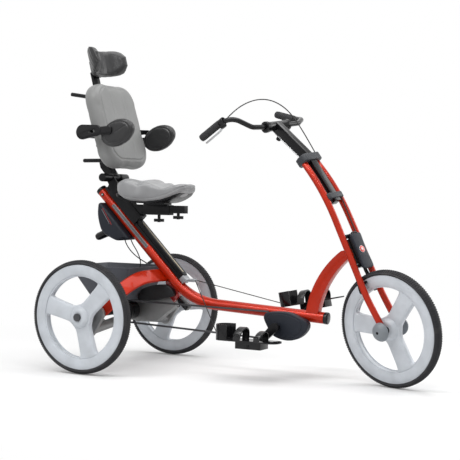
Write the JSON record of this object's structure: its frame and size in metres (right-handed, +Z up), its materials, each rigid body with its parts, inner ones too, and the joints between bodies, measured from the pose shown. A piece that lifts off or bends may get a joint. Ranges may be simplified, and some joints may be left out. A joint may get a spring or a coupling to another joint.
{
  "type": "adaptive tricycle",
  "caption": "Adaptive tricycle with a supportive seat, headrest, side pads, strapped foot plates, folding stem and rear luggage tub.",
  "frame": {"origin": "on the floor under the middle of the bounding box", "axes": "+X forward, +Y to the rider's left, +Z up"},
  "size_m": [1.8239, 0.86, 1.4855],
  "materials": {
    "frame_orange": "gloss metallic",
    "slate_metal": "satin",
    "slate_plastic": "satin moulded",
    "black_plastic": "gloss",
    "black_metal": "satin",
    "silver": "satin",
    "steel": "brushed",
    "wheel_grey": "satin moulded",
    "tyre_black": "matte",
    "grip_rubber": "matte ribbed",
    "seat_leather": "smooth",
    "back_leather": "satin",
    "black_leather": "satin",
    "red_lens": "clear",
    "strap": "woven"
  },
  "bodies": {
    "frame": {"main_tube": "frame_orange", "tube_caps": "black_plastic", "neck_riser": "slate_metal", "head_tube": "frame_orange", "seat_rail": "silver", "rail_block": "silver", "battery_pod": "slate_plastic", "rear_lamp": "black_plastic", "rear_arms": "frame_orange", "axle_beam": "silver", "drive_carrier": "slate_metal", "frame_lug": "red_lens", "gear_hub": "steel", "bumper": "slate_metal", "luggage_tub": "slate_plastic", "bottom_bracket": "black_metal", "chain_guard": "slate_plastic", "chain": "steel", "pedal_cords": "strap", "pod_cables": "black_plastic"},
    "rear_wheel_right": {"rear_right_wheel": "wheel_grey", "rear_right_tyre": "tyre_black", "rear_right_shaft": "steel"},
    "rear_wheel_left": {"rear_left_wheel": "wheel_grey", "rear_left_tyre": "tyre_black", "rear_left_shaft": "steel"},
    "steering": {"fork_tubes": "black_metal", "crown": "black_metal", "fork_clamps": "black_metal", "stem": "black_metal", "handlebars": "black_metal", "grips": "grip_rubber", "head_cover": "slate_plastic", "front_axle": "steel", "brake_levers": "silver", "front_brake": "black_metal", "stem_knobs": "silver", "brake_cable": "black_plastic"},
    "front_wheel": {"front_wheel": "wheel_grey", "front_tyre": "tyre_black"},
    "crank": {"crankset": "black_metal"},
    "pedal_right": {"pedal_right": "slate_plastic", "foot_straps_right": "strap"},
    "pedal_left": {"pedal_left": "slate_plastic", "foot_straps_left": "strap"},
    "seat": {"seat_carriage": "black_metal", "seat_beam": "black_metal", "seat_pan": "black_plastic", "seat_cushion": "seat_leather"},
    "back": {"back_frame": "black_metal", "back_cushion": "back_leather", "headrest_pad": "black_leather", "headrest_plate": "silver", "side_pads": "black_leather", "side_pad_arms": "black_plastic", "rear_handles": "black_metal"}
  },
  "joints": [
    {"name": "rear_wheel_right_spin", "type": "hinge", "parent": "frame", "child": "rear_wheel_right", "pos_m": [-0.61182, -0.391, 0.25], "axis": [0, 1, 0], "continuous": true},
    {"name": "rear_wheel_left_spin", "type": "hinge", "parent": "frame", "child": "rear_wheel_left", "pos_m": [-0.61182, 0.391, 0.25], "axis": [0, 1, 0], "continuous": true},
    {"name": "steer", "type": "hinge", "parent": "frame", "child": "steering", "pos_m": [0.50318, 0, 0.581], "axis": [-0.4226, 0, 0.9063], "range_deg": [-17, 53]},
    {"name": "front_wheel_spin", "type": "hinge", "parent": "steering", "child": "front_wheel", "pos_m": [0.67102, -0.00371, 0.24806], "axis": [0.2801, 0.9511, 0.1306], "continuous": true},
    {"name": "crank_spin", "type": "hinge", "parent": "frame", "child": "crank", "pos_m": [0.18318, 0, 0.23], "axis": [0, 1, 0], "continuous": true, "deforming": ["pedal_cords"]},
    {"name": "pedal_right_pivot", "type": "hinge", "parent": "crank", "child": "pedal_right", "pos_m": [0.1054, -0.16, 0.15222], "axis": [0, 1, 0], "continuous": true},
    {"name": "pedal_left_pivot", "type": "hinge", "parent": "crank", "child": "pedal_left", "pos_m": [0.26096, 0.16, 0.30778], "axis": [0, 1, 0], "continuous": true},
    {"name": "seat_slide", "type": "slide", "parent": "frame", "child": "seat", "axis": [0.7071, 0, -0.7071], "range_m": [0, 0.26]},
    {"name": "back_recline", "type": "hinge", "parent": "seat", "child": "back", "pos_m": [-0.71082, 0, 0.865], "axis": [0, 1, 0], "range_deg": [-20, 5]}
  ],
  "couplings": [
    {"joint": "pedal_right_pivot", "follows": "crank_spin", "ratio": -1},
    {"joint": "pedal_left_pivot", "follows": "crank_spin", "ratio": -1}
  ]
}
